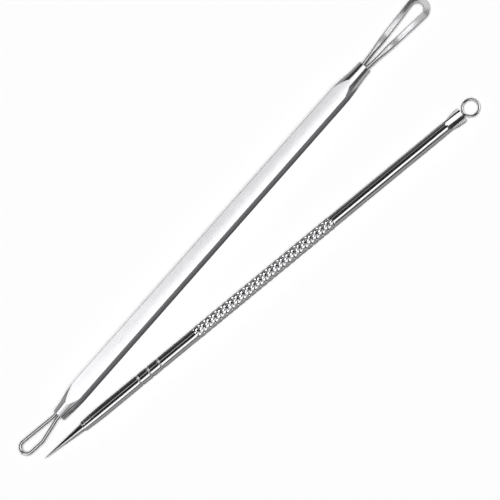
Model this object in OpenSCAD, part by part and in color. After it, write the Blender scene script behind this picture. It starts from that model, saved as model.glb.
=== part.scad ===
// Two-piece blackhead extractor set in polished steel, lying on the plane Z = 0.
// The square tool lies along X, with a flat band loop at its +X end and a wire loop at its -X end.
// The round tool lies beside it, with a needle at its front end and a wire ring at its rear end.

/* [Square handle] */
// Length of the square handle between its two end faces
square_len = 91.6; // [70:0.1:110]
// Width across the flats of the square bar
bar_side = 3.4; // [3:0.05:4]
// Metal taken off each long edge of the bar, measured towards its centre
edge_break = 0.1; // [0.02:0.01:0.25]
// Diameter of the turned neck at both end faces
neck_d = 2.76; // [2.6:0.01:2.9]
// Chamfer on the rim of each end face
end_chamfer = 0.08; // [0.02:0.01:0.15]

/* [Flat loop end] */
// Length of the turned neck that carries the flat loop
flat_neck_len = 7.3; // [5:0.1:12]
// How late the neck flares out to the bar's corners: 1 is a plain cone
flat_neck_flare = 1.85; // [1:0.05:4]
// Diameter of the bore for the flat loop's legs
flat_socket_d = 1.95; // [1.94:0.01:2.1]
// Depth of the bore for the flat loop's legs
flat_socket_depth = 6; // [4:0.1:9]
// Diameter of the flat loop's wire where it is still round
flat_leg_d = 0.8; // [0.6:0.01:0.8]
// Distance between the centres of the flat loop's two legs
flat_leg_pitch = 1.08; // [0.9:0.01:1.08]
// Reach of the flat loop past the handle's end face
flat_loop_len = 17.8; // [12:0.1:24]
// Outer width of the flat loop at its widest place
flat_loop_width = 5; // [4.2:0.05:6]
// How far the flat loop's tip leans to one side
flat_loop_lean = 0.28; // [0:0.01:0.5]
// Width of the flattened band
band_width = 1.22; // [0.9:0.01:1.4]
// Thickness of the flattened band
band_thickness = 0.36; // [0.25:0.01:0.6]
// Distance from the end face to where the round legs start to flatten
band_start = 2.2; // [1:0.1:4]
// Length over which the round legs turn into the band
band_run = 4.4; // [2:0.1:7]
// Distance from the end face to where the band starts to cup towards the loop's tip
cup_start = 9.5; // [6:0.1:13]
// Length over which the cupping grows
cup_run = 5.5; // [2:0.1:8]
// How far the cupped band's outer edge dips, in degrees
cup_roll = 19; // [0:0.5:22]

/* [Wire loop end] */
// Length of the turned neck that carries the wire loop
wire_neck_len = 5.8; // [5:0.1:10]
// How late the neck flares out to the bar's corners: 1 is a plain cone
wire_neck_flare = 1.45; // [1:0.05:4]
// Distance of the turned neck's middle from the bar's middle, to the side away from the bore
wire_neck_offset = 0.2; // [0:0.01:0.25]
// Diameter of the bore for the wire loop's legs
wire_socket_d = 1.6; // [1.5:0.01:1.7]
// Depth of the bore for the wire loop's legs
wire_socket_depth = 5; // [3.5:0.1:8]
// Distance of that bore from the bar's middle
wire_socket_offset = 0.1; // [0:0.01:0.15]
// Diameter of the loop's wire
loop_wire_d = 0.58; // [0.4:0.01:0.6]
// Distance between the centres of the wire loop's two legs
loop_leg_pitch = 0.86; // [0.75:0.01:0.88]
// How far the legs run straight past the end face
loop_leg_run = 0.9; // [0.4:0.1:1.5]
// Reach of the wire loop past the handle's end face
wire_loop_len = 10.5; // [8:0.1:14]
// Distance of the loop's straight side from the bar's middle, where that side would meet the tip
loop_straight_rise = 2.1; // [1.9:0.05:2.6]
// Distance of the loop's bent side from the bar's middle, where that side would meet the tip
loop_bent_rise = 0.74; // [0.55:0.01:0.95]
// Distance from the end face to the bend in the loop's bent side
loop_bend_at = 6; // [4.8:0.1:6.6]
// Distance of that bend from the bar's middle
loop_bend_rise = 1.21; // [1.05:0.01:1.5]
// Bend radius of both corners at the loop's tip, at the wire's centre
loop_tip_r = 1.35; // [0.9:0.05:1.4]
// Bend radius of the gentle bends, at the wire's centre
loop_side_r = 2.5; // [1:0.1:5]

/* [Sockets] */
// How far the solder lies back from the end face
solder_recess = 0.3; // [0.1:0.05:1]
// Radial clearance between pieces that fit into each other
fit_gap = 0.01; // [0.01:0.005:0.02]
// Distance between the end of a leg and the bottom of its bore
leg_end_gap = 0.3; // [0.1:0.05:0.6]

/* [Round handle] */
// Length of the round handle between its two end faces
round_len = 96.7; // [80:0.1:115]
// Diameter of the plain rod
rod_d = 2.39; // [2.25:0.01:2.5]
// Diameter of the rod's front face around the needle
front_d = 2; // [1.9:0.01:2.1]
// Length of the front taper
front_taper_len = 5.5; // [4:0.1:12]
// Distance from the front face to the first grip groove
groove_start = 14.4; // [9:0.1:20]
// Distance from one grip groove to the next
groove_pitch = 2.6; // [1.5:0.1:4]
// Number of grip grooves
groove_count = 3; // [1:1:4]
// Width of each grip groove at the rod's surface
groove_width = 0.44; // [0.2:0.01:0.7]
// Depth of each grip groove
groove_depth = 0.15; // [0.05:0.01:0.25]

/* [Knurl] */
// Distance from the front face to the start of the knurl
knurl_start = 28.3; // [25:0.1:40]
// Length of the knurl
knurl_len = 35.9; // [15:0.1:36]
// Diameter over the knurl's diamonds
knurl_d = 2.54; // [2.5:0.01:2.7]
// Depth of the knurl's crossing grooves
knurl_depth = 0.15; // [0.1:0.01:0.2]
// Length of one diamond along the handle
knurl_pitch = 1.436; // [1.1:0.001:2]
// Number of diamonds in one ring around the handle
knurl_around = 6; // [5:1:8]
// Size of each diamond's flat top, as a share of the diamond
knurl_top = 0.3; // [0.1:0.05:0.6]

/* [Crimped end] */
// Length of the end that is pressed flat on the ring's legs
crimp_len = 4.1; // [3.5:0.1:7]
// Height of the pressed core
crimp_height = 2.1; // [1.7:0.05:2.15]
// Width of the flat that the press leaves on top and below
crimp_flat = 0.9; // [0.5:0.05:0.95]
// Width of the pressed core at its foot
crimp_foot = 1.86; // [1.6:0.02:2]
// Width over the two fins that the press squeezes out
fin_width = 3.3; // [2.8:0.05:3.8]
// Thickness of the fins
fin_thickness = 0.5; // [0.3:0.05:0.7]
// Length over which the fins spread
fin_run = 3.2; // [2:0.1:3.4]
// Radius of the fins' outer corners
fin_corner_r = 0.35; // [0.1:0.05:0.5]
// Turn of the pressed form about the handle's axis, in degrees
crimp_turn = 8.5; // [0:0.5:15]

/* [Ring] */
// Outer diameter of the ring
ring_d = 3.85; // [3.2:0.05:5]
// Diameter of the ring's wire
ring_wire_d = 0.43; // [0.3:0.01:0.5]
// Radius of the turn from each leg into the ring, at the wire's centre
ring_neck_r = 0.5; // [0.4:0.05:0.9]
// Gap between the ring's two legs
ring_leg_gap = 0.04; // [0.02:0.01:0.1]
// Length of the legs inside the crimped end
ring_leg_len = 3.2; // [2:0.1:5]

/* [Needle] */
// Length of the needle in front of the handle
needle_len = 9.9; // [6:0.1:14]
// Diameter of the needle at its foot
needle_d = 1.54; // [1.2:0.02:1.6]
// Diameter of the needle's rounded point
needle_point_d = 0.1; // [0.04:0.01:0.2]
// Diameter of the thin collar that seats on the handle's front face
collar_d = 1.68; // [1.62:0.01:1.72]
// Thickness of the collar
collar_thickness = 0.12; // [0.05:0.01:0.3]
// Diameter of the needle's shank inside the handle
shank_d = 1.1; // [0.8:0.05:1.15]
// Length of the needle's shank inside the handle
shank_len = 6; // [4:0.1:8]

/* [Layout] */
// Place of the round handle's middle along X
round_tool_x = 3.5; // [-10:0.1:15]
// Place of the round handle's middle along Y
round_tool_y = -13.4; // [-25:0.1:-13]
// Turn of the round tool away from the square tool, in degrees
round_tool_turn = -9.55; // [-10:0.05:0]

/* [Hidden] */
$fn = 48;

bar_half = bar_side / 2;
corner_r = bar_side / sqrt(2) - edge_break;
neck_r = neck_d / 2;
flare_steps = 10;
flare_over = 3;
drill_point_angle = 118;

flat_leg_y = flat_leg_pitch / 2;
tip_arc_r = (flat_loop_width - band_width) / 2;
tip_arc_x = flat_loop_len - band_width / 2 - tip_arc_r;
arm_steps = 18;
tip_steps = 18;
band_sides = 16;
band_squareness = 4;

loop_tip_x = wire_loop_len - loop_wire_d / 2;
loop_leg_y = loop_leg_pitch / 2;
wire_sides = 12;
bend_step = 11;

rod_r = rod_d / 2;
front_chamfer = 0.08;
taper_steps = 6;
groove_floor_share = 0.35;
knurl_rows = 2 * round(knurl_len / knurl_pitch);
knurl_columns = 2 * knurl_around;
knurl_root_r = knurl_d / 2 - knurl_depth;
knurl_core_r = knurl_root_r - knurl_depth;
knurl_crown = 0.01;
knurl_lap = 0.1;

crimp_x = round_len - crimp_len;
crimp_shoulder_len = 0.8;
fin_steps = 6;
ring_leg_y = (ring_wire_d + ring_leg_gap) / 2;
ring_r = (ring_d - ring_wire_d) / 2;
ring_turn_y = ring_leg_y + ring_neck_r;
ring_x = sqrt(pow(ring_r + ring_neck_r, 2) - pow(ring_turn_y, 2));
ring_join_angle = atan2(ring_turn_y, ring_x);

function smooth(u) = let (v = min(max(u, 0), 1)) v * v * (3 - 2 * v);
function mix(a, b, u) = a + (b - a) * u;
function flip(points) = [for (i = [len(points) - 1:-1:0]) points[i]];
function heading(a, b) = atan2(b[1] - a[1], b[0] - a[0]);
function turn_between(h0, h1) = let (d = h1 - h0) d > 180 ? d - 360 : d < -180 ? d + 360 : d;

// Lays a shape that was revolved about Z along the X axis, from X = 0 towards +X
module along_x() rotate([0, 90, 0]) children();

// Frames of the two end faces of the square handle, each with +X pointing out of the handle
module at_flat_end() translate([square_len / 2, 0, bar_half]) children();
module at_wire_end() translate([-square_len / 2, 0, bar_half]) mirror([1, 0, 0]) children();

// Frame of the round tool: its front face is at X = 0 and its rear face at X = round_len
module at_round_tool()
    translate([round_tool_x, round_tool_y, knurl_d / 2])
        rotate([0, 0, round_tool_turn])
            translate([-round_len / 2, 0, 0]) children();

// Blind bore that starts at X = 0 and goes towards -X, with the cone that a drill leaves
module drilled_bore(d, depth) {
    point_len = d / 2 / tan(drill_point_angle / 2);
    rotate([0, -90, 0]) rotate_extrude()
        polygon([[0, -1], [d / 2, -1], [d / 2, depth], [0, depth + point_len]]);
}

// Radius of a turned neck at a share u of its length, from the end face to the bar's corners
function neck_radius(u, flare) = neck_r + (corner_r - neck_r) * pow(u, flare);

// Solid of revolution that one end of the bar is turned down to. Its end face is at X = 0 and it runs
// towards -X, where it flares out past the corners of the bar.
module turned_end(length, flare) rotate([0, -90, 0]) rotate_extrude($fn = 96)
    polygon(concat(
        [[0, 0], [neck_r - end_chamfer, 0], [neck_r, end_chamfer]],
        [for (i = [1:flare_steps + flare_over]) let (u = i / flare_steps)
            [neck_radius(u, flare), u * length]],
        [[bar_side, square_len], [0, square_len]]));

module square_handle() color("silver") difference() {
    intersection() {
        translate([-square_len / 2, -bar_half, 0]) cube([square_len, bar_side, bar_side]);
        translate([-square_len / 2, 0, bar_half]) along_x()
            cylinder(r = corner_r, h = square_len, $fn = 96);
        at_flat_end() turned_end(flat_neck_len, flat_neck_flare);
        at_wire_end() translate([0, -wire_neck_offset, 0])
            turned_end(wire_neck_len, wire_neck_flare);
    }
    at_flat_end() drilled_bore(flat_socket_d, flat_socket_depth);
    at_wire_end() translate([0, wire_socket_offset, 0])
        drilled_bore(wire_socket_d, wire_socket_depth);
}

// Solder in a bore, run around the two legs that stand in it
module solder_fill(bore_d, depth, leg_d, leg_y) color("gray") difference() {
    translate([fit_gap - depth, 0, 0]) along_x()
        cylinder(d = bore_d - 2 * fit_gap, h = depth - solder_recess - fit_gap);
    for (side = [-1, 1])
        translate([leg_end_gap - depth - fit_gap, side * leg_y, 0]) along_x()
            cylinder(d = leg_d + 2 * fit_gap, h = depth);
}

module flat_loop_solder()
    at_flat_end() solder_fill(flat_socket_d, flat_socket_depth, flat_leg_d, flat_leg_y);

module wire_loop_solder()
    at_wire_end() translate([0, wire_socket_offset, 0])
        solder_fill(wire_socket_d, wire_socket_depth, loop_wire_d, loop_leg_y);

// Angle of a straight arm that leaves a leg at the end face and runs tangent into the tip arc
arm_angle = asin(tip_arc_r / norm([tip_arc_x, flat_leg_y])) - atan2(flat_leg_y, tip_arc_x);
arm_end = [tip_arc_x - tip_arc_r * sin(arm_angle), tip_arc_r * cos(arm_angle)];

// Upper half of the flat loop's centre line, from the leg's end in the bore to the tip
function flat_loop_half() = concat(
    [[leg_end_gap - flat_socket_depth, flat_leg_y]],
    [for (i = [0:arm_steps - 1]) mix([0, flat_leg_y], arm_end, i / arm_steps)],
    [for (i = [0:tip_steps / 2]) let (a = mix(90 + arm_angle, 0, 2 * i / tip_steps))
        [tip_arc_x + tip_arc_r * cos(a), tip_arc_r * sin(a)]]);

// Cross-section that is round for squareness 2 and a rounded rectangle above that
function band_section(width, thickness, squareness) =
    [for (i = [0:band_sides - 1]) let (a = 360 * i / band_sides, p = 2 / squareness)
        [sign(cos(a)) * width / 2 * pow(abs(cos(a)), p),
         sign(sin(a)) * thickness / 2 * pow(abs(sin(a)), p)]];

// Round wire up to band_start, flattened band after band_start + band_run
function section_at(x) =
    let (u = smooth((x - band_start) / band_run))
    band_section(mix(flat_leg_d, band_width, u), mix(flat_leg_d, band_thickness, u),
                 mix(2, band_squareness, u));

// The section turned about the wire, so that its outer edge dips
function rolled(section, roll) =
    [for (s = section) [s[0] * cos(roll) + s[1] * sin(roll), s[1] * cos(roll) - s[0] * sin(roll)]];

// Direction across a flat path at one of its points, in the plane of the path
function across_at(path, i) =
    let (last = len(path) - 1,
         along = path[min(i + 1, last)] - path[max(i - 1, 0)])
    [-along[1], along[0]] / norm(along);

// Skin of a wire or band: one cross-section on each point of a flat path, joined into a tube
module swept(path, sections) {
    sides = len(sections[0]);
    rings = len(path);
    points = [for (i = [0:rings - 1]) let (across = across_at(path, i)) for (s = sections[i])
        [path[i][0] + across[0] * s[0], path[i][1] + across[1] * s[0], s[1]]];
    skin = [for (i = [0:rings - 2]) for (k = [0:sides - 1])
        let (a = i * sides + k, b = i * sides + (k + 1) % sides)
        each [[a, b, b + sides], [a, b + sides, a + sides]]];
    first_end = [for (k = [sides - 1:-1:0]) k];
    last_end = [for (k = [0:sides - 1]) (rings - 1) * sides + k];
    polyhedron(points, concat(skin, [first_end, last_end]));
}

module flat_loop() color("gainsboro") at_flat_end() {
    half = flat_loop_half();
    level = concat(half, [for (i = [len(half) - 2:-1:0]) [half[i][0], -half[i][1]]]);
    path = [for (p = level) [p[0], p[1] - flat_loop_lean * max(p[0], 0) / flat_loop_len]];
    swept(path, [for (p = path)
        rolled(section_at(p[0]), cup_roll * smooth((p[0] - cup_start) / cup_run))]);
}

function circle_section(d) =
    [for (i = [0:wire_sides - 1]) let (a = 360 * i / wire_sides) [cos(a), sin(a)] * d / 2];

// Round wire of one diameter along a flat path
module wire(path, d) swept(path, [for (p = path) circle_section(d)]);

// Points of an arc around a centre, from one angle to another
function arc_points(centre, radius, from_angle, to_angle) =
    let (steps = ceil(abs(to_angle - from_angle) / bend_step))
    [for (i = [0:steps]) let (a = mix(from_angle, to_angle, i / steps))
        centre + radius * [cos(a), sin(a)]];

// Points of the bend that a wire makes at a corner between two straight runs
function bend_points(before, corner, after, radius) =
    let (heading_in = heading(before, corner),
         turn = turn_between(heading_in, heading(corner, after)),
         side = sign(turn),
         start = corner - radius * tan(abs(turn) / 2) * [cos(heading_in), sin(heading_in)],
         centre = start + side * radius * [-sin(heading_in), cos(heading_in)],
         first_angle = heading_in - side * 90)
    arc_points(centre, radius, first_angle, first_angle + turn);

// Path through a row of corners, with a bend radius for each inner corner
function formed_path(corners, radii) =
    let (last = len(corners) - 1)
    concat([corners[0]],
           [for (i = [1:last - 1])
               each bend_points(corners[i - 1], corners[i], corners[i + 1], radii[i - 1])],
           [corners[last]]);

module wire_loop() color("gainsboro") at_wire_end() {
    leg_x = leg_end_gap - wire_socket_depth;
    straight_y = wire_socket_offset + loop_leg_y;
    bent_y = wire_socket_offset - loop_leg_y;
    corners = [[leg_x, straight_y], [loop_leg_run, straight_y],
               [loop_tip_x, loop_straight_rise], [loop_tip_x, -loop_bent_rise],
               [loop_bend_at, -loop_bend_rise], [loop_leg_run, bent_y], [leg_x, bent_y]];
    radii = [loop_side_r, loop_tip_r, loop_tip_r, loop_side_r, loop_side_r];
    wire(formed_path(corners, radii), loop_wire_d);
}

// Outline of one grip groove, for the rod's profile
function groove_outline(x) =
    let (floor_half = groove_width * groove_floor_share / 2)
    [[rod_r, x - groove_width / 2],
     [rod_r - groove_depth, x - floor_half],
     [rod_r - groove_depth, x + floor_half],
     [rod_r, x + groove_width / 2]];

// Profile of the rod, drawn down to a core under the knurl and coned off where the crimp starts
function rod_outline() = concat(
    [[0, 0], [front_d / 2 - front_chamfer, 0]],
    [for (i = [0:taper_steps]) let (u = i / taper_steps)
        [mix(front_d / 2, rod_r, sin(90 * u)), mix(front_chamfer, front_taper_len, u)]],
    [for (i = [0:groove_count - 1]) each groove_outline(groove_start + i * groove_pitch)],
    [[rod_r, knurl_start + knurl_lap],
     [knurl_core_r, knurl_start + knurl_lap],
     [knurl_core_r, knurl_start + knurl_len - knurl_lap],
     [rod_r, knurl_start + knurl_len - knurl_lap],
     [rod_r, crimp_x],
     [crimp_foot / 2 - fit_gap, crimp_x + crimp_shoulder_len],
     [0, crimp_x + crimp_shoulder_len]]);

// A diamond stands wherever row and column differ by an odd number, except on the two end rows
function is_diamond(row, column) =
    (row + column) % 2 == 1 && row > 0 && row < knurl_rows;

function knurl_point(row, column, radius) =
    let (a = 360 * column / knurl_columns)
    [knurl_start + knurl_len * row / knurl_rows, radius * cos(a), radius * sin(a)];

function grid_index(row, column) =
    row * knurl_columns + (column + knurl_columns) % knurl_columns;

// The four corners of a diamond's flat top follow the grid's own points in the list
function top_index(row, column, corner) =
    (knurl_rows + 1) * knurl_columns
    + 4 * ((row - 1) * knurl_around + floor(column / 2)) + corner;

function corner_indices(row, column) =
    [grid_index(row - 1, column), grid_index(row, column - 1),
     grid_index(row + 1, column), grid_index(row, column + 1)];

function diamond_faces(row, column) =
    let (corners = corner_indices(row, column), peak = grid_index(row, column))
    [for (k = [0:3]) let (next = (k + 1) % 4,
                          top = top_index(row, column, k),
                          next_top = top_index(row, column, next))
        each [[corners[k], corners[next], next_top],
              [corners[k], next_top, top],
              [top, next_top, peak]]];

// Half a diamond on an end row lies flat at the foot of the knurl
function run_out_faces(row, column) =
    let (corners = corner_indices(row, column), middle = grid_index(row, column))
    row == 0
        ? [[corners[1], corners[2], middle], [corners[2], corners[3], middle]]
        : [[corners[3], corners[0], middle], [corners[0], corners[1], middle]];

// Diamond knurl: two sets of crossing helical grooves leave rows of blunt pyramids
module diamond_knurl() {
    steps = [[-1, 0], [0, -1], [1, 0], [0, 1]] * knurl_top;
    grid = [for (row = [0:knurl_rows]) for (column = [0:knurl_columns - 1])
        knurl_point(row, column, is_diamond(row, column) ? knurl_d / 2 : knurl_root_r)];
    tops = [for (row = [1:knurl_rows - 1]) for (column = [0:knurl_columns - 1])
        if (is_diamond(row, column))
            for (step = steps)
                knurl_point(row + step[0], column + step[1], knurl_d / 2 - knurl_crown)];
    faces = [for (row = [0:knurl_rows]) for (column = [0:knurl_columns - 1])
        if ((row + column) % 2 == 1)
            each is_diamond(row, column) ? diamond_faces(row, column)
                                         : run_out_faces(row, column)];
    front = [for (column = [0:knurl_columns - 1]) grid_index(0, column)];
    rear = [for (column = [0:knurl_columns - 1]) grid_index(knurl_rows, column)];
    polyhedron(concat(grid, tops), concat(faces, [front, flip(rear)]));
}

// Half width of the fins, which spread fast at first and then run nearly straight
function fin_half(u) = mix(rod_r, fin_width / 2, 1 - pow(1 - u, 2));

// Plan outline of one fin's edge, from the start of the crimp to the rear face
function fin_edge() = concat(
    [[crimp_x, crimp_foot / 2 - fit_gap], [crimp_x + fit_gap, rod_r - fit_gap]],
    [for (i = [0:fin_steps - 1]) let (u = i / fin_steps)
        [round_len - fin_run * (1 - u) - fin_corner_r * u, fin_half(u)]],
    [for (i = [0:fin_steps]) let (a = 90 - 90 * i / fin_steps)
        [round_len - fin_corner_r * (1 - cos(a)),
         fin_width / 2 - fin_corner_r * (1 - sin(a))]]);

// Core that the press leaves: flat on top and below, with sloping flanks down to the fins
module crimp_core() {
    quarter = [[crimp_foot / 2, fin_thickness / 2], [crimp_flat / 2, crimp_height / 2]];
    upper = concat(quarter, [for (p = flip(quarter)) [-p[0], p[1]]]);
    section = concat(upper, [for (p = flip(upper)) [p[0], -p[1]]]);
    translate([crimp_x, 0, 0]) rotate([90, 0, 90])
        linear_extrude(height = crimp_len) polygon(section);
}

module crimp_fins() {
    edge = fin_edge();
    outline = concat(edge, [for (p = flip(edge)) [p[0], -p[1]]]);
    translate([0, 0, -fin_thickness / 2]) linear_extrude(height = fin_thickness)
        polygon(outline);
}

// Slot that the press closes around the two legs of the ring
module ring_slot() {
    slot_d = ring_wire_d + 2 * fit_gap;
    slot_x = round_len - ring_leg_len - fit_gap;
    for (side = [-1, 1])
        translate([slot_x, side * ring_leg_y, 0]) along_x()
            cylinder(d = slot_d, h = ring_leg_len + 1, $fn = 32);
    translate([slot_x, -ring_leg_y, -slot_d / 2])
        cube([ring_leg_len + 1, 2 * ring_leg_y, slot_d]);
}

module round_handle() color("silver") at_round_tool() difference() {
    union() {
        along_x() rotate_extrude() polygon(rod_outline());
        diamond_knurl();
        rotate([-crimp_turn, 0, 0]) {
            crimp_core();
            crimp_fins();
        }
    }
    rotate([0, 0, 180]) drilled_bore(shank_d + 2 * fit_gap, shank_len + leg_end_gap);
    ring_slot();
}

// Needle with its thin collar and the shank that sits in the handle, pointing towards -X
module needle() color("silver") at_round_tool() rotate([0, -90, 0]) rotate_extrude()
    polygon([[0, -shank_len], [shank_d / 2, -shank_len],
             [shank_d / 2, fit_gap], [collar_d / 2, fit_gap],
             [collar_d / 2, collar_thickness], [needle_d / 2, collar_thickness],
             [needle_point_d / 2, needle_len - needle_point_d / 2],
             [needle_point_d / 4, needle_len - needle_point_d / 8],
             [0, needle_len]]);

module wire_ring() color("gainsboro") at_round_tool() translate([round_len, 0, 0]) {
    leg_end = [-ring_leg_len, ring_leg_y];
    neck = arc_points([0, ring_turn_y], ring_neck_r, -90, -ring_join_angle);
    half = concat([leg_end], neck);
    round = arc_points([ring_x, 0], ring_r, 180 - ring_join_angle, ring_join_angle - 180);
    inner_round = [for (i = [1:len(round) - 2]) round[i]];
    wire(concat(half, inner_round, [for (p = flip(half)) [p[0], -p[1]]]), ring_wire_d);
}

square_handle();
flat_loop();
wire_loop();
flat_loop_solder();
wire_loop_solder();
round_handle();
needle();
wire_ring();
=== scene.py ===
"""Looks of the two-piece blackhead extractor set: polished steel tools on a white table."""

import math

import bpy
from mathutils import Matrix, Vector


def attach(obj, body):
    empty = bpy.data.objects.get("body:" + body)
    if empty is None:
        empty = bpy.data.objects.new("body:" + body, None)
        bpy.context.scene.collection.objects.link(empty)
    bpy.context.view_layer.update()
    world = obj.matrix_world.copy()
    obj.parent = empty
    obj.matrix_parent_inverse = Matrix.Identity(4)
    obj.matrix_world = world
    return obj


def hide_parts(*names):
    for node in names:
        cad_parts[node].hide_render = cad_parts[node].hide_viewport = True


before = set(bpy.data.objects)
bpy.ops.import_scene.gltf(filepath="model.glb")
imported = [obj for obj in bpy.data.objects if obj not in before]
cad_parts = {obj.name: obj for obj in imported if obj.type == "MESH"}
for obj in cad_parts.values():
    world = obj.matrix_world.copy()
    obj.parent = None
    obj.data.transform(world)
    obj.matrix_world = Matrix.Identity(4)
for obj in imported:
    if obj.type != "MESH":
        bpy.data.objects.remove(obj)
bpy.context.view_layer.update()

MM = 0.001

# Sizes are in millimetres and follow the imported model. The loops and the ring are 0.01 to 0.02 mm
# smaller, so that their finer sections stay inside its box. Small forms that the solids leave out
# are added: the crown of the bar's faces, the band's shoulder and the crimp that falls to the rear.
# The knurl is shallower and the band is rolled less than in the solids.

# Square handle
SQUARE_LEN = 91.6
BAR_SIDE = 3.4
EDGE_BREAK = 0.1
BAR_HALF = BAR_SIDE / 2
CORNER_R = BAR_SIDE / math.sqrt(2) - EDGE_BREAK
FACE_CROWN = 0.05
NECK_R = 1.38
END_CHAMFER = 0.08
END_SUPPORT = 0.03
# A neck's length, flare and distance off the bar's axis
FLAT_NECK = (7.3, 1.85, 0.0)
WIRE_NECK = (5.8, 1.45, -0.2)
LEAST_FLARE = 0.001
# A bore's radius, depth and distance off the bar's axis
FLAT_BORE = (0.975, 6.0, 0.0)
WIRE_BORE = (0.8, 5.0, 0.1)
BORE_CHAMFER = 0.04
DRILL_TIP_R = 0.02
DRILL_TIP_DEPTH = 0.6
LEG_END_GAP = 0.3

# Flat loop
LEG_D = 0.8
LEG_Y = 0.54
FLAT_LOOP_LEN = 17.79
FLAT_LOOP_WIDTH = 4.98
FLAT_LOOP_LEAN = 0.28
BAND_WIDTH = 1.22
BAND_THICK = 0.36
BAND_START = 2.2
BAND_RUN = 4.4
BAND_FLATNESS = 0.8
PRESSED_THICK = 0.62
PRESS_RUN = 4.0
SHOULDER_AT = 5.2
SHOULDER_LAG = 1.0
SHOULDER_RUN = 2.5
CUP_START = 9.5
CUP_RUN = 5.5
CUP_ROLL = math.radians(15)

# Wire loop
LOOP_WIRE_D = 0.58
LOOP_LEG_Y = 0.43
LOOP_LEG_RUN = 0.9
WIRE_LOOP_LEN = 10.49
STRAIGHT_RISE = 2.1
BENT_RISE = 0.74
BEND_AT = 6.0
BEND_RISE = 1.21
TIP_R = 1.35
SIDE_R = 2.5

# Round handle
ROUND_LEN = 96.7
ROD_R = 1.195
FRONT_R = 1.0
TAPER_START = 0.06
TAPER_LEN = 5.5
GROOVE_AT = (14.4, 17.0, 19.6)
GROOVE_WIDTH = 0.44
GROOVE_DEPTH = 0.15
GROOVE_ROUNDING = 1.4
KNURL_START = 28.3
KNURL_LEN = 35.9
KNURL_R = 1.27
KNURL_DEPTH = 0.095
KNURL_ROWS = 50
KNURL_COLUMNS = 12
KNURL_PHASE = 0.47
KNURL_FLANK = 0.8
KNURL_ROUNDING = 0.35
KNURL_FADE = 1.0
CRIMP_LEN = 4.1
CRIMP_PRESS_RUN = 0.6
CRIMP_HALF_HEIGHTS = (1.19, 0.93)
CRIMP_HALF_FLAT = 0.45
CRIMP_HALF_FOOT = 1.08
CRIMP_TURN = math.radians(8.5)
FIN_HALF_WIDTH = 1.65
FIN_HALF_THICKS = (0.33, 0.19)
FIN_RUN = 3.2
FIN_CORNER_R = 0.35
FIN_RIM_R = 0.1
LEAST_FIN = 0.12

# Needle and wire ring
NEEDLE_LEN = 9.9
NEEDLE_R = 0.77
POINT_LEN = 0.12
POINT_R = 0.05
COLLAR_R = 0.84
COLLAR_LEN = 0.12
COLLAR_EDGE = 0.02
COLLAR_STEP = 0.005
SHANK_R = 0.55
SHANK_LEN = 6.0
SHANK_GAP = 0.01
RING_D = 3.83
RING_WIRE_D = 0.43
RING_NECK_R = 0.5
RING_LEG_Y = 0.235
RING_LEG_LEN = 3.2
ROUND_TOOL_AT = (3.5, -13.4)
ROUND_TOOL_TURN = math.radians(-9.55)


def smooth(u):
    v = min(max(u, 0.0), 1.0)
    return v * v * (3 - 2 * v)


def mix(a, b, u):
    return a + (b - a) * u


def spread(a, b, count):
    """count values from a to b, both ends among them."""
    return [mix(a, b, i / (count - 1)) for i in range(count)]


def last_value(holds, low, high, halvings):
    """The largest value between low and high for which holds is true, found by halving."""
    for _ in range(halvings):
        middle = (low + high) / 2
        if holds(middle):
            low = middle
        else:
            high = middle
    return low


def new_object(name, data):
    made = bpy.data.objects.new(name, data)
    bpy.context.scene.collection.objects.link(made)
    return made


# ---------------------------------------------------------------- meshes

def tube(name, rings, place, body, node, sharp_deg=50.0):
    """A closed skin from rings of points in millimetres. Fans close the first and the last ring."""
    sides = len(rings[0])
    points = [p for ring in rings for p in ring]
    faces = []
    for i in range(len(rings) - 1):
        for k in range(sides):
            a, b = i * sides + k, i * sides + (k + 1) % sides
            faces.append((a, b, b + sides, a + sides))
    for ring_start, forward in ((0, False), ((len(rings) - 1) * sides, True)):
        ring = points[ring_start:ring_start + sides]
        centre = len(points)
        points.append(tuple(sum(axis) / sides for axis in zip(*ring)))
        for k in range(sides):
            a, b = ring_start + k, ring_start + (k + 1) % sides
            faces.append((a, b, centre) if forward else (b, a, centre))
    mesh = bpy.data.meshes.new(name)
    mesh.from_pydata([place @ (Vector(p) * MM) for p in points], [], faces)
    mesh.update()
    mesh.polygons.foreach_set("use_smooth", [True] * len(mesh.polygons))
    mesh.set_sharp_from_angle(angle=math.radians(sharp_deg))
    piece = new_object(name, mesh)
    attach(piece, body)
    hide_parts(node)
    return piece


AT_FLAT_END = Matrix.Translation(Vector((SQUARE_LEN / 2, 0, BAR_HALF)) * MM)
AT_WIRE_END = Matrix.Translation(Vector((-SQUARE_LEN / 2, 0, BAR_HALF)) * MM)
AT_BAR = Matrix.Translation(Vector((0, 0, BAR_HALF)) * MM)
AT_ROUND_TOOL = (Matrix.Translation(Vector((*ROUND_TOOL_AT, KNURL_R)) * MM)
                 @ Matrix.Rotation(ROUND_TOOL_TURN, 4, "Z")
                 @ Matrix.Translation(Vector((-ROUND_LEN / 2, 0, 0)) * MM))


# ---------------------------------------------------------------- square handle

LEAST_EDGE = math.radians(5)
EDGE_SUPPORT = 0.02
EDGE_AT = math.sqrt(CORNER_R ** 2 - BAR_HALF ** 2)
FAR_OUT = 3.5
REACH_HALVINGS = 36
EDGE_HALVINGS = 30
INNER_ANGLES = 6
OUTER_ANGLES = 5
PAST_CHAMFER = 1.5 * END_CHAMFER
NECK_STEPS = 10
TONGUE_STEPS = 26
MIDDLE_RINGS = 9
PAST_WIRE_NECK = 2.0
PAST_FLAT_NECK = 0.5


def inside_bar(y, z):
    """Whether a point lies in the bar's section: four crowned faces, their corners turned off."""
    return (abs(z) <= BAR_HALF - FACE_CROWN * (y / BAR_HALF) ** 2
            and abs(y) <= BAR_HALF - FACE_CROWN * (z / BAR_HALF) ** 2
            and math.hypot(y, z) <= CORNER_R)


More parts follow.
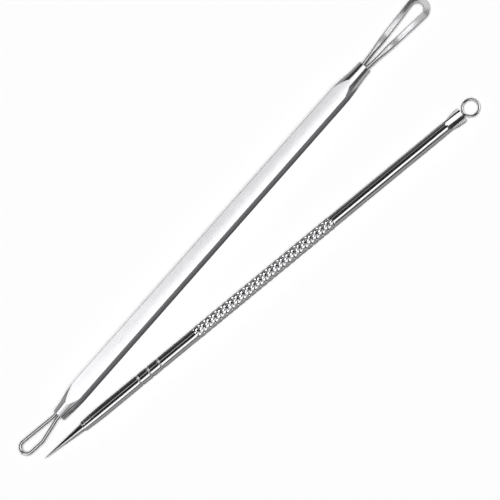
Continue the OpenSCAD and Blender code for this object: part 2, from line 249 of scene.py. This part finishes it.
def reach(turn, centre_y):
    """Distance from a point on the level line through the bar's axis to the section's outline."""
    cosine, sine = math.cos(turn), math.sin(turn)
    return last_value(lambda r: inside_bar(centre_y + r * cosine, r * sine),
                      0.0, FAR_OUT, REACH_HALVINGS)


def eighth_angles(normal, corner, radius, centre_y):
    """Angles from a face's normal to a corner, with rows of points along the tongue's edge."""
    side = math.copysign(1.0, corner)
    far = abs(corner)
    edge = last_value(lambda a: reach(normal + side * a, centre_y) < radius,
                      0.0, far * EDGE_AT / BAR_HALF, EDGE_HALVINGS)
    edge = max(edge, LEAST_EDGE)
    step = EDGE_SUPPORT / BAR_HALF
    angles = spread(0, edge - step, INNER_ANGLES) + [edge]
    angles += spread(edge + min(step, (far - edge) / 4), far, OUTER_ANGLES)
    return [normal + side * a for a in angles]


def bar_ring(x, radius, centre_y=0.0):
    """The bar's section within a circle around centre_y: four faces, each of two eighths."""
    corners = [(BAR_HALF, BAR_HALF), (-BAR_HALF, BAR_HALF), (-BAR_HALF, -BAR_HALF),
               (BAR_HALF, -BAR_HALF)]
    turns = [math.atan2(z, y - centre_y) for y, z in corners]
    ring = []
    for face in range(4):
        normal = face * math.pi / 2
        before = (turns[face - 1] - normal + math.pi) % (2 * math.pi) - math.pi
        after = (turns[face] - normal + math.pi) % (2 * math.pi) - math.pi
        first = eighth_angles(normal, before, radius, centre_y)
        second = eighth_angles(normal, after, radius, centre_y)
        for turn in list(reversed(first[1:])) + second[:-1]:
            r = min(radius, reach(turn, centre_y))
            ring.append((x, centre_y + r * math.cos(turn), r * math.sin(turn)))
    return ring


def neck_stations(length, flare, offset):
    """Distance from the end face and radius, from the neck to past the bar's corners."""
    nearest, farthest = BAR_HALF - abs(offset), CORNER_R + abs(offset)
    radii = [mix(NECK_R + LEAST_FLARE, nearest, i / NECK_STEPS) for i in range(1, NECK_STEPS)]
    radii += spread(nearest, farthest, TONGUE_STEPS + 1)
    return [(length * ((r - NECK_R) / (CORNER_R - NECK_R)) ** (1 / flare), r) for r in radii]


def end_rings(face_x, inward, neck):
    """Rings of a turned end, from its chamfered face to past the bar's corners."""
    offset = neck[2]
    rings = [bar_ring(face_x, NECK_R - END_CHAMFER, offset)]
    rings += [bar_ring(face_x + inward * (END_CHAMFER + d), NECK_R, offset)
              for d in (0, END_SUPPORT)]
    rings += [bar_ring(face_x + inward * d, r, offset) for d, r in neck_stations(*neck)
              if d > PAST_CHAMFER]
    return rings


def bore_rings(face_x, inward, bore):
    """Rings into a bore, from its rim to the drill's tip. inward is the direction of the drill."""
    radius, depth, offset = bore
    angles = [math.atan2(z, y) for _, y, z in bar_ring(0, 1.0)]
    steps = [(radius + BORE_CHAMFER, 0.0), (radius, BORE_CHAMFER), (radius, depth / 2),
             (radius, depth), (DRILL_TIP_R, depth + radius * DRILL_TIP_DEPTH)]
    return [[(face_x + inward * d, offset + r * math.cos(a), r * math.sin(a)) for a in angles]
            for r, d in steps]


def square_handle():
    left, right = -SQUARE_LEN / 2, SQUARE_LEN / 2
    rings = list(reversed(bore_rings(left, 1, WIRE_BORE))) + end_rings(left, 1, WIRE_NECK)
    rings += [bar_ring(x, CORNER_R) for x in spread(left + WIRE_NECK[0] + PAST_WIRE_NECK,
                                                    right - FLAT_NECK[0] - PAST_FLAT_NECK,
                                                    MIDDLE_RINGS)]
    rings += list(reversed(end_rings(right, -1, FLAT_NECK))) + bore_rings(right, -1, FLAT_BORE)
    return tube("square_bar", rings, AT_BAR, "square_tool", "square_handle",
                sharp_deg=60.0)


# ---------------------------------------------------------------- wires

BAND_SIDE_POINTS = 15
BAND_TOP_SHARES = (0.04, 0.2, 0.35, 0.5, 0.65, 0.8, 0.96)
LEG_STOPS = (-2.0, -0.3)
ARM_POINTS = 110
TIP_POINTS = 34
WIRE_SIDES = 28
RUN_STEP = 0.4


def swept(path, sections):
    """Rings of a section that runs along a path in one plane. A section is (across, up) pairs."""
    rings = []
    last = len(path) - 1
    for i, (x, y) in enumerate(path):
        before, after = path[max(i - 1, 0)], path[min(i + 1, last)]
        dx, dy = after[0] - before[0], after[1] - before[1]
        size = math.hypot(dx, dy)
        ax, ay = -dy / size, dx / size
        rings.append([(x + ax * s, y + ay * s, up) for s, up in sections[i]])
    return rings


def band_section(width, thick, flatness):
    """Pressed wire: flat above and below, with round sides. flatness 0 is a circle."""
    half_thick = thick / 2
    flat = (width / 2) * flatness
    bulge = width / 2 - flat
    side = [(flat + bulge * math.cos(a), half_thick * math.sin(a))
            for a in spread(-math.pi / 2, math.pi / 2, BAND_SIDE_POINTS)]
    top = [(mix(flat, -flat, u), half_thick) for u in BAND_TOP_SHARES]
    other = [(-s, -up) for s, up in side]
    bottom = [(-s, -up) for s, up in top]
    return side + top + other + bottom


def rolled(section, roll):
    """The section turned about the wire, so that its outer edge dips for a positive roll."""
    return [(across * math.cos(roll) + up * math.sin(roll),
             up * math.cos(roll) - across * math.sin(roll)) for across, up in section]


def flat_loop():
    """Two round legs, pressed into a band that thins behind a shoulder and is cupped at its tip."""
    tip_r = (FLAT_LOOP_WIDTH - BAND_WIDTH) / 2
    tip_x = FLAT_LOOP_LEN - BAND_WIDTH / 2 - tip_r
    arm = math.asin(tip_r / math.hypot(tip_x, LEG_Y)) - math.atan2(LEG_Y, tip_x)
    arm_end = (tip_x - tip_r * math.sin(arm), tip_r * math.cos(arm))
    half = [(x, LEG_Y) for x in (LEG_END_GAP - FLAT_BORE[1], *LEG_STOPS)]
    half += [(mix(0.0, arm_end[0], u), mix(LEG_Y, arm_end[1], u)) for u in spread(0, 1, ARM_POINTS)]
    half += [(tip_x + tip_r * math.cos(a), tip_r * math.sin(a))
             for a in spread(math.pi / 2 + arm, 0, TIP_POINTS)[1:]]
    level = half + [(x, -y) for x, y in reversed(half[:-1])]
    path = [(x, y - FLAT_LOOP_LEAN * max(x, 0) / FLAT_LOOP_LEN) for x, y in level]
    sections = []
    for x, y in level:
        shoulder = SHOULDER_AT + (SHOULDER_LAG if y < 0 else 0.0)
        thick = mix(LEG_D, PRESSED_THICK, smooth((x - BAND_START) / PRESS_RUN))
        thick = mix(thick, BAND_THICK, smooth((x - shoulder) / SHOULDER_RUN))
        width = mix(LEG_D, BAND_WIDTH, smooth((x - BAND_START) / BAND_RUN))
        flatness = BAND_FLATNESS * math.sqrt(max(1 - (thick / LEG_D) ** 2, 0.0))
        section = band_section(width, thick, flatness)
        sections.append(rolled(section, CUP_ROLL * smooth((x - CUP_START) / CUP_RUN)))
    return tube("flat_band_loop", swept(path, sections), AT_FLAT_END, "square_tool",
                "flat_loop", sharp_deg=40.0)


def circle_section(d):
    return [(d / 2 * math.cos(a), d / 2 * math.sin(a))
            for a in spread(0, 2 * math.pi, WIRE_SIDES + 1)[:-1]]


def arc(centre, radius, start, end, step_deg=4.0):
    count = max(int(abs(math.degrees(end - start)) / step_deg), 2) + 1
    return [(centre[0] + radius * math.cos(a), centre[1] + radius * math.sin(a))
            for a in spread(start, end, count)]


def bend(before, corner, after, radius):
    """Points of a bend at a corner between two straight runs."""
    h0 = math.atan2(corner[1] - before[1], corner[0] - before[0])
    h1 = math.atan2(after[1] - corner[1], after[0] - corner[0])
    turn = (h1 - h0 + math.pi) % (2 * math.pi) - math.pi
    side = math.copysign(1.0, turn)
    back = radius * math.tan(abs(turn) / 2)
    start = (corner[0] - back * math.cos(h0), corner[1] - back * math.sin(h0))
    centre = (start[0] - side * radius * math.sin(h0), start[1] + side * radius * math.cos(h0))
    first = h0 - side * math.pi / 2
    return arc(centre, radius, first, first + turn)


def formed_path(corners, radii):
    """Path through a row of corners, with a bend at each inner corner and points along the runs."""
    bent = [corners[0]]
    for i in range(1, len(corners) - 1):
        bent += bend(corners[i - 1], corners[i], corners[i + 1], radii[i - 1])
    bent.append(corners[-1])
    path = [bent[0]]
    for p in bent[1:]:
        q = path[-1]
        parts = max(int(math.dist(p, q) / RUN_STEP), 1)
        path += [(mix(q[0], p[0], k / parts), mix(q[1], p[1], k / parts))
                 for k in range(1, parts + 1)]
    return path


def wire_loop():
    """A lopsided drop: one side straight, one with a bend. Drawn towards +X, then mirrored."""
    offset = WIRE_BORE[2]
    leg_x = LEG_END_GAP - WIRE_BORE[1]
    straight_y = offset + LOOP_LEG_Y
    bent_y = offset - LOOP_LEG_Y
    tip_x = WIRE_LOOP_LEN - LOOP_WIRE_D / 2
    corners = [(leg_x, straight_y), (LOOP_LEG_RUN, straight_y), (tip_x, STRAIGHT_RISE),
               (tip_x, -BENT_RISE), (BEND_AT, -BEND_RISE), (LOOP_LEG_RUN, bent_y),
               (leg_x, bent_y)]
    path = formed_path(corners, [SIDE_R, TIP_R, TIP_R, SIDE_R, SIDE_R])
    sections = [circle_section(LOOP_WIRE_D)] * len(path)
    mirrored = [[(-x, y, z) for x, y, z in reversed(ring)] for ring in swept(path, sections)]
    return tube("thin_wire_loop", mirrored, AT_WIRE_END, "square_tool", "wire_loop")


# ---------------------------------------------------------------- round tool

SIDES = 96
# The front face and its tiny chamfer: distance from the face, and radius
FRONT_PROFILE = ((0, 0.3), (0, 0.6), (0, FRONT_R - 0.05), (0, FRONT_R - 0.03),
                 (0.01, FRONT_R - 0.01), (0.03, FRONT_R))
TAPER_RINGS = 16
GROOVE_RINGS = 15
GROOVE_REACH = 0.96
GROOVE_EDGE = 0.03
GROOVE_SUPPORT = 0.25
KNURL_STEPS = 8
KNURL_SUPPORT = 0.1
PLAIN_FRONT = (22, 25)
PLAIN_REAR = (70, 78, 86)
CRIMP_RINGS = 40
CORNER_RINGS = 9
NEEDLE_RINGS = 24
RIM_POINTS = 6
LEAST_GAP = 0.01
FIN_SHARES = (0.8, 0.55, 0.3, 0.08)
FACET_SHARES = (0.04, 0.12, 0.25, 0.4, 0.55, 0.7, 0.85, 0.96)
CRIMP_TOP_SHARES = (0.97, 0.85, 0.7, 0.5, 0.35, 0.2, 0.0)
REAR_FACE_SHARES = (0.97, 0.9, 0.6, 0.3)
# The very point of the needle: distance from its end, and radius
POINT_PROFILE = ((0.05, 0.036), (0.01, 0.018), (0.0, 0.004))


def circle_ring(x, radius):
    return [(x, radius * math.cos(a), radius * math.sin(a))
            for a in spread(0, 2 * math.pi, SIDES + 1)[:-1]]


def knurl_radius(row, column):
    """Radius of the knurl, where row and column count half diamonds.

    One set of grooves runs where their sum is even, the other where their difference is."""
    p, q = row + column, row - column
    across_p = 1 - abs(p % 2 - 1)
    across_q = 1 - abs(q % 2 - 1)
    rise = min(across_p, across_q) / KNURL_FLANK
    shape = mix(min(rise, 1.0), smooth(rise), KNURL_ROUNDING)
    return KNURL_R - KNURL_DEPTH * (1 - shape)


def knurl_ring(x):
    row = (x - KNURL_START) / (KNURL_LEN / KNURL_ROWS)
    fade = smooth(min(x - KNURL_START, KNURL_START + KNURL_LEN - x) / KNURL_FADE)
    ring = []
    for k in range(SIDES):
        a = 2 * math.pi * k / SIDES
        r = mix(ROD_R, knurl_radius(row, KNURL_COLUMNS * k / SIDES + KNURL_PHASE), fade)
        ring.append((x, r * math.cos(a), r * math.sin(a)))
    return ring


def quarter_outline(half_width, half_height, half_thick):
    """A quarter of the crimped section, from the fin's rim to the middle of the flat: 25 points."""
    points = [(half_width - FIN_RIM_R * (1 - math.cos(a)),
               half_thick - FIN_RIM_R * (1 - math.sin(a)))
              for a in spread(0, math.pi / 2, RIM_POINTS)]
    points[0] = (half_width, 0.0)
    gap = max(half_width - FIN_RIM_R - CRIMP_HALF_FOOT, LEAST_GAP)
    points += [(CRIMP_HALF_FOOT + gap * u, half_thick) for u in FIN_SHARES]
    points += [(mix(CRIMP_HALF_FOOT, CRIMP_HALF_FLAT, u), mix(half_thick, half_height, u))
               for u in FACET_SHARES]
    points += [(CRIMP_HALF_FLAT * u, half_height) for u in CRIMP_TOP_SHARES]
    return points


def crimp_ring(x, pressed, half_width):
    """Section between the round rod, pressed 0, and the crimped form, pressed 1."""
    along = (x - ROUND_LEN + CRIMP_LEN) / CRIMP_LEN
    quarter = quarter_outline(max(half_width, CRIMP_HALF_FOOT + LEAST_FIN),
                              mix(*CRIMP_HALF_HEIGHTS, along), mix(*FIN_HALF_THICKS, along))
    outline = list(quarter)
    outline += [(-y, z) for y, z in reversed(quarter[:-1])]
    outline += [(-y, -z) for y, z in quarter[1:]]
    outline += [(y, -z) for y, z in reversed(quarter[1:-1])]
    cosine, sine = math.cos(CRIMP_TURN * pressed), math.sin(CRIMP_TURN * pressed)
    ring = []
    for k, (y, z) in enumerate(outline):
        a = 2 * math.pi * k / SIDES
        y = mix(ROD_R * math.cos(a), y, pressed)
        z = mix(ROD_R * math.sin(a), z, pressed)
        ring.append((x, y * cosine + z * sine, z * cosine - y * sine))
    return ring


def crimp_rings():
    """The crimp with its two fins, their rounded rear corners, and the rear face."""
    start = ROUND_LEN - CRIMP_LEN
    fin_start = ROUND_LEN - FIN_RUN
    rings = []
    for x in spread(start, ROUND_LEN - FIN_CORNER_R, CRIMP_RINGS)[1:]:
        pressed = smooth((x - start) / CRIMP_PRESS_RUN)
        u = min(max((x - fin_start) / (FIN_RUN - FIN_CORNER_R), 0.0), 1.0)
        rings.append(crimp_ring(x, pressed, mix(ROD_R, FIN_HALF_WIDTH, 1 - (1 - u) ** 2)))
    for a in spread(0, math.pi / 2, CORNER_RINGS)[1:]:
        x = ROUND_LEN - FIN_CORNER_R * (1 - math.sin(a))
        rings.append(crimp_ring(x, 1.0, FIN_HALF_WIDTH - FIN_CORNER_R * (1 - math.cos(a))))
    end = rings[-1]
    for share in REAR_FACE_SHARES:
        rings.append([(ROUND_LEN, y * share, z * share) for _, y, z in end])
    return rings


def groove_rings(middle_x):
    """A grip groove with a rounded floor and a ring of points close to each edge."""
    half = GROOVE_WIDTH / 2
    profile = [(-half - GROOVE_SUPPORT, 0), (-half - GROOVE_EDGE, 0)]
    profile += [(half * u, math.cos(u * math.pi / 2) ** GROOVE_ROUNDING)
                for u in spread(-GROOVE_REACH, GROOVE_REACH, GROOVE_RINGS)]
    profile += [(half + GROOVE_EDGE, 0), (half + GROOVE_SUPPORT, 0)]
    return [circle_ring(middle_x + dx, ROD_R - GROOVE_DEPTH * depth) for dx, depth in profile]


def round_handle():
    rings = [circle_ring(x, r) for x, r in FRONT_PROFILE]
    rings += [circle_ring(mix(TAPER_START, TAPER_LEN, u),
                          mix(FRONT_R, ROD_R, math.sin(u * math.pi / 2)))
              for u in spread(0, 1, TAPER_RINGS)]
    for middle_x in GROOVE_AT:
        rings += groove_rings(middle_x)
    rings += [circle_ring(x, ROD_R) for x in (*PLAIN_FRONT, KNURL_START - KNURL_SUPPORT)]
    knurl_end = KNURL_START + KNURL_LEN
    rings += [knurl_ring(x) for x in spread(KNURL_START, knurl_end, KNURL_ROWS * KNURL_STEPS + 1)]
    rings += [circle_ring(x, ROD_R)
              for x in (knurl_end + KNURL_SUPPORT, *PLAIN_REAR, ROUND_LEN - CRIMP_LEN)]
    rings += crimp_rings()
    return tube("round_bar", rings, AT_ROUND_TOOL, "round_tool", "round_handle",
                sharp_deg=38.0)


def needle():
    profile = [(SHANK_LEN, SHANK_R), (SHANK_GAP, SHANK_R),
               (-COLLAR_STEP, COLLAR_R - COLLAR_EDGE), (-COLLAR_EDGE, COLLAR_R),
               (-COLLAR_LEN + COLLAR_EDGE - COLLAR_STEP, COLLAR_R),
               (-COLLAR_LEN, COLLAR_R - COLLAR_EDGE),
               (-COLLAR_LEN - COLLAR_STEP, NEEDLE_R + COLLAR_EDGE / 2),
               (-COLLAR_LEN - COLLAR_EDGE, NEEDLE_R)]
    profile += [(-mix(COLLAR_LEN + COLLAR_EDGE, NEEDLE_LEN - POINT_LEN, u),
                 mix(NEEDLE_R, POINT_R, u)) for u in spread(0, 1, NEEDLE_RINGS)[1:]]
    profile += [(d - NEEDLE_LEN, r) for d, r in POINT_PROFILE]
    rings = [circle_ring(x, r) for x, r in reversed(profile)]
    return tube("needle_point", rings, AT_ROUND_TOOL, "round_tool", "needle")


def wire_ring():
    radius = (RING_D - RING_WIRE_D) / 2
    turn_y = RING_LEG_Y + RING_NECK_R
    centre_x = math.sqrt((radius + RING_NECK_R) ** 2 - turn_y ** 2)
    join = math.atan2(turn_y, centre_x)
    half = [(-RING_LEG_LEN, RING_LEG_Y), (-RING_LEG_LEN / 2, RING_LEG_Y)]
    half += arc((0, turn_y), RING_NECK_R, -math.pi / 2, -join, 5.0)
    loop = arc((centre_x, 0), radius, math.pi - join, join - math.pi, 3.0)
    path = half + loop[1:-1] + [(x, -y) for x, y in reversed(half)]
    sections = [circle_section(RING_WIRE_D)] * len(path)
    rings = [[(x + ROUND_LEN, y, z) for x, y, z in ring] for ring in swept(path, sections)]
    return tube("end_ring", rings, AT_ROUND_TOOL, "round_tool", "wire_ring")


# ---------------------------------------------------------------- materials

GRAIN_DETAIL = 3.0
MOTTLE_SCALE = 420.0
MOTTLE_DETAIL = 2.0
NOISE_RANGE = (0.3, 0.7)
GLOSS_RANGE = (0.75, 1.3)
GRAIN_HEIGHT = 0.02 * MM
# Grain drawn out along a bar
ALONG = (16.0, 1.0, 1.0)


def steel(name, tint, rough, grain, grain_scale, bump, mottle=0.06, turn=0.0, rim=0.0):
    """Polished steel: fine lines in its gloss and relief, and a faint mottle in its colour.

    rim is its tint at a grazing angle, turn the angle that its grain is turned by about Z."""
    material = bpy.data.materials.new(name)
    material.use_nodes = True
    nodes, links = material.node_tree.nodes, material.node_tree.links
    shader = nodes["Principled BSDF"]
    shader.inputs["Metallic"].default_value = 1.0
    shader.inputs["Specular Tint"].default_value = (rim, rim, rim, 1.0)
    coords = nodes.new("ShaderNodeTexCoord")
    stretch = nodes.new("ShaderNodeMapping")
    stretch.vector_type = "TEXTURE"
    stretch.inputs["Rotation"].default_value = (0, 0, turn)
    stretch.inputs["Scale"].default_value = grain
    lines = nodes.new("ShaderNodeTexNoise")
    lines.inputs["Scale"].default_value = grain_scale
    lines.inputs["Detail"].default_value = GRAIN_DETAIL
    blotch = nodes.new("ShaderNodeTexNoise")
    blotch.inputs["Scale"].default_value = MOTTLE_SCALE
    blotch.inputs["Detail"].default_value = MOTTLE_DETAIL
    links.new(coords.outputs["Object"], stretch.inputs["Vector"])
    links.new(stretch.outputs["Vector"], lines.inputs["Vector"])
    links.new(coords.outputs["Object"], blotch.inputs["Vector"])

    colour = nodes.new("ShaderNodeMix")
    colour.data_type = "RGBA"
    colour.inputs["A"].default_value = (*[c * (1 - mottle) for c in tint], 1)
    colour.inputs["B"].default_value = (*[c * (1 + mottle) for c in tint], 1)
    links.new(blotch.outputs["Fac"], colour.inputs["Factor"])
    links.new(colour.outputs["Result"], shader.inputs["Base Color"])

    gloss = nodes.new("ShaderNodeMapRange")
    gloss.inputs["From Min"].default_value = NOISE_RANGE[0]
    gloss.inputs["From Max"].default_value = NOISE_RANGE[1]
    gloss.inputs["To Min"].default_value = rough * GLOSS_RANGE[0]
    gloss.inputs["To Max"].default_value = rough * GLOSS_RANGE[1]
    links.new(lines.outputs["Fac"], gloss.inputs["Value"])
    links.new(gloss.outputs["Result"], shader.inputs["Roughness"])

    relief = nodes.new("ShaderNodeBump")
    relief.inputs["Strength"].default_value = bump
    relief.inputs["Distance"].default_value = GRAIN_HEIGHT
    links.new(lines.outputs["Fac"], relief.inputs["Height"])
    links.new(relief.outputs["Normal"], shader.inputs["Normal"])
    return material


def dress(piece, material):
    piece.data.materials.clear()
    piece.data.materials.append(material)


# ---------------------------------------------------------------- build

bar = square_handle()
band = flat_loop()
thin_loop = wire_loop()
rod = round_handle()
point = needle()
ring = wire_ring()

dress(bar, steel("polished_bar", (0.4, 0.4, 0.408), 0.16, ALONG, 9000, 0.25, rim=0.05))
dress(band, steel("hammered_band", (0.38, 0.38, 0.388), 0.24, (2, 1, 1), 2500, 0.03,
                  mottle=0.02, rim=0.2))
dress(thin_loop, steel("drawn_loop_wire", (0.26, 0.26, 0.265), 0.1, (3, 1, 1), 6000, 0.08))
dress(rod, steel("polished_rod", (0.3, 0.3, 0.306), 0.1, ALONG, 9000, 0.05,
                 mottle=0.03, turn=ROUND_TOOL_TURN, rim=0.1))
dress(point, steel("ground_needle", (0.28, 0.28, 0.286), 0.1, ALONG, 9000, 0.05,
                   mottle=0.03, turn=ROUND_TOOL_TURN, rim=0.1))
dress(ring, steel("drawn_ring_wire", (0.3, 0.3, 0.306), 0.14, (2, 1, 1), 6000, 0.1,
                  turn=ROUND_TOOL_TURN))
solder = steel("dull_solder", (0.3, 0.3, 0.31), 0.5, (1, 1, 1), 3000, 0.6, mottle=0.15)
for node in ("flat_loop_solder", "wire_loop_solder"):
    dress(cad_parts[node], solder)

# ---------------------------------------------------------------- table and surroundings

TABLE_HALF = 6.0
TABLE_DROP = 0.02 * MM
TABLE_WHITE = 0.93
HORIZON_LEVEL = 0.5
ZENITH_LEVEL = 0.05
GLOW_TOP = 0.4

mesh = bpy.data.meshes.new("table")
mesh.from_pydata([(-TABLE_HALF, -TABLE_HALF, 0), (TABLE_HALF, -TABLE_HALF, 0),
                  (TABLE_HALF, TABLE_HALF, 0), (-TABLE_HALF, TABLE_HALF, 0)], [], [(0, 1, 2, 3)])
table = new_object("table", mesh)
table.location.z = -TABLE_DROP
paper = bpy.data.materials.new("white_paper")
paper.use_nodes = True
shader = paper.node_tree.nodes["Principled BSDF"]
shader.inputs["Base Color"].default_value = (TABLE_WHITE, TABLE_WHITE, TABLE_WHITE, 1)
shader.inputs["Roughness"].default_value = 1.0
shader.inputs["Specular IOR Level"].default_value = 0.0
dress(table, paper)

# A white world that glows at the horizon, so that the steel's edges have something to reflect
world = bpy.data.worlds.new("studio")
world.use_nodes = True
bpy.context.scene.world = world
nodes, links = world.node_tree.nodes, world.node_tree.links
sky = nodes["Background"]
sky.inputs["Color"].default_value = (1, 1, 1, 1)
direction = nodes.new("ShaderNodeTexCoord")
split = nodes.new("ShaderNodeSeparateXYZ")
glow = nodes.new("ShaderNodeMapRange")
glow.interpolation_type = "SMOOTHSTEP"
glow.inputs["From Min"].default_value = 0.0
glow.inputs["From Max"].default_value = GLOW_TOP
glow.inputs["To Min"].default_value = HORIZON_LEVEL
glow.inputs["To Max"].default_value = ZENITH_LEVEL
links.new(direction.outputs["Generated"], split.inputs["Vector"])
links.new(split.outputs["Z"], glow.inputs["Value"])
links.new(glow.outputs["Result"], sky.inputs["Strength"])

# ---------------------------------------------------------------- lights


def receivers(name, *objects):
    group = bpy.data.collections.new(name)
    for o in objects:
        group.objects.link(o)
    return group


FOR_TABLE = receivers("lit_table", table)
FOR_TOOLS = receivers("lit_tools", bar, band, thin_loop, rod, point, ring)
FOR_BAR = receivers("lit_bar", bar)
FOR_BAND = receivers("lit_band", band)
FOR_LOOP = receivers("lit_wire_loop", thin_loop)
FOR_ROD = receivers("lit_rod", rod)
FOR_POINT = receivers("lit_needle", point)
FOR_RING = receivers("lit_ring", ring)
MIDDLE = Vector((3.5, -7.0, 1.3)) * MM
STRIP_DISTANCE = 1.0


def area_light(name, length, width, level, place, group):
    """A rectangle of even radiance, level, that shines on one group of objects alone."""
    lamp = bpy.data.lights.new(name, "AREA")
    lamp.shape = "RECTANGLE"
    lamp.size = length
    lamp.size_y = width
    lamp.energy = level * math.pi * length * width
    light = new_object(name, lamp)
    light.matrix_world = place
    light.light_linking.receiver_collection = group


def strip(name, from_deg, to_deg, x_from, x_to, level, group, turn):
    """A strip light parallel to X, turned about Z by turn. Angles are from the vertical to -Y."""
    middle = math.radians((from_deg + to_deg) / 2)
    width = 2 * STRIP_DISTANCE * math.tan(math.radians(to_deg - from_deg) / 2)
    out = Vector((0, -math.sin(middle), math.cos(middle)))
    across = Vector((0, math.cos(middle), math.sin(middle)))
    spin = Matrix((Vector((1, 0, 0)), across, out)).transposed()
    place = (Matrix.Translation(MIDDLE) @ Matrix.Rotation(turn, 4, "Z")
             @ Matrix.Translation(out * STRIP_DISTANCE + Vector(((x_from + x_to) / 2, 0, 0)))
             @ spin.to_4x4())
    area_light(name, x_to - x_from, width, level, place, group)


def soft_box(name, stand, width, height, level):
    """A soft box at stand that faces the tools and doesn't light the table."""
    place = Matrix.Translation(stand) @ stand.to_track_quat("Z", "Y").to_matrix().to_4x4()
    area_light(name, width, height, level, place, FOR_TOOLS)


for side in (-1, 1):
    soft_box("end_light", Vector((side * 1.3, 0, 0.55)), width=1.8, height=1.0, level=1.4)
    for front in (-1, 1):
        soft_box("corner_light", Vector((side * 0.95, front * 0.95, 0.5)),
                 width=0.9, height=0.7, level=1.0)

# Each part's strips: name, two angles in degrees, two ends along X in metres, and level.
# At WIRE_SIDE the bar's strips meet those of its neck, at MID_KNURL the rod's front ones its rear.
WIRE_SIDE = -0.07
MID_KNURL = -0.055
BAR_STRIPS = (
    ("bar_key", -16, 34, WIRE_SIDE, 0.5, 2.85),
    ("bar_side", -34, -16, WIRE_SIDE, 0.5, 1.6),
    ("bar_fill", 34, 64, WIRE_SIDE, 0.8, 0.12),
    ("neck_edge", -84, -44, -0.8, WIRE_SIDE, 0.45),
    ("neck_key", -44, -11, -0.8, WIRE_SIDE, 2.85),
    ("neck_fill", -11, 26, -0.8, WIRE_SIDE, 1.6),
    ("neck_low", 26, 62, -0.8, WIRE_SIDE, 0.6),
)
BAND_STRIPS = (
    ("band_key", -22, 2, -0.3, 0.17, 3.0),
    ("band_middle", 2, 34, -0.3, 0.17, 1.2),
    ("band_side", -38, -22, -0.3, 0.17, 1.5),
    ("band_edge", -60, -38, -0.4, 0.3, 0.15),
    ("band_far", -38, 34, 0.17, 0.42, 0.25),
    ("band_tip", -38, 34, 0.42, 1.2, 1.6),
)
LOOP_STRIPS = (
    ("loop_key", -12, 34, -2.5, 2.5, 3.9),
)
ROD_STRIPS = (
    ("front_key", 29, 66, -2.2, MID_KNURL, 3.3),
    ("front_line", -30, -18, -0.4, MID_KNURL, 1.3),
    ("rear_key", 20, 53, MID_KNURL, 0.085, 3.6),
    ("rear_line", -50, -34, MID_KNURL, 0.1, 0.6),
    ("fin_fill", 8, 64, 0.085, 0.28, 1.7),
    ("knurl_top", -88, -14, -1.1, -0.28, 6.2),
    ("knurl_low", 66, 88, -1.1, -0.28, 4.4),
    ("knurl_right", -88, 60, 0.3, 1.2, 0.7),
    ("crimp_key", -46, -22, 0.1, 0.27, 3.6),
)
POINT_STRIPS = (
    ("needle_key", 24, 64, -2.2, 0.0, 3.2),
)
RING_STRIPS = (
    ("ring_left", -20, 60, -3.0, -0.3, 1.8),
    ("ring_right", -20, 60, 0.3, 3.0, 3.6),
    ("ring_top", 10, 40, -0.3, 0.3, 0.3),
)
for group, turn, strips in ((FOR_BAR, 0.0, BAR_STRIPS), (FOR_BAND, 0.0, BAND_STRIPS),
                            (FOR_LOOP, 0.0, LOOP_STRIPS), (FOR_ROD, ROUND_TOOL_TURN, ROD_STRIPS),
                            (FOR_POINT, ROUND_TOOL_TURN, POINT_STRIPS),
                            (FOR_RING, ROUND_TOOL_TURN, RING_STRIPS)):
    for row in strips:
        strip(*row, group, turn)

SUN_LEVEL = 1.02
SUN_WIDTH = math.radians(30)
SUN_TILT = math.radians(15)

sun = bpy.data.lights.new("table_light", "SUN")
sun.energy = SUN_LEVEL * math.pi
sun.angle = SUN_WIDTH
sun_object = new_object("table_light", sun)
sun_object.rotation_euler = (SUN_TILT, 0, 0)
sun_object.light_linking.receiver_collection = FOR_TABLE

# ---------------------------------------------------------------- camera

ELEVATION = math.radians(72.8)
ROLL = math.radians(48.628)
FIELD = 0.098483
CAMERA_DISTANCE = 1.2
SENSOR_WIDTH = 36.0
AIM = Vector((3.614, -7.069, 1.3)) * MM

back = Vector((0, -math.cos(ELEVATION), math.sin(ELEVATION)))
level_up = Vector((0, math.sin(ELEVATION), math.cos(ELEVATION)))
right = Vector((math.cos(ROLL), 0, 0)) - level_up * math.sin(ROLL)
up = Vector((math.sin(ROLL), 0, 0)) + level_up * math.cos(ROLL)
lens = bpy.data.cameras.new("camera")
lens.sensor_width = SENSOR_WIDTH
lens.lens = SENSOR_WIDTH * CAMERA_DISTANCE / FIELD
lens.clip_start = 0.05
lens.clip_end = 50.0
camera = new_object("camera", lens)
camera.matrix_world = (Matrix.Translation(AIM + back * CAMERA_DISTANCE)
                       @ Matrix((right, up, back)).transposed().to_4x4())
bpy.context.scene.camera = camera
bpy.context.scene.view_settings.view_transform = "Standard"
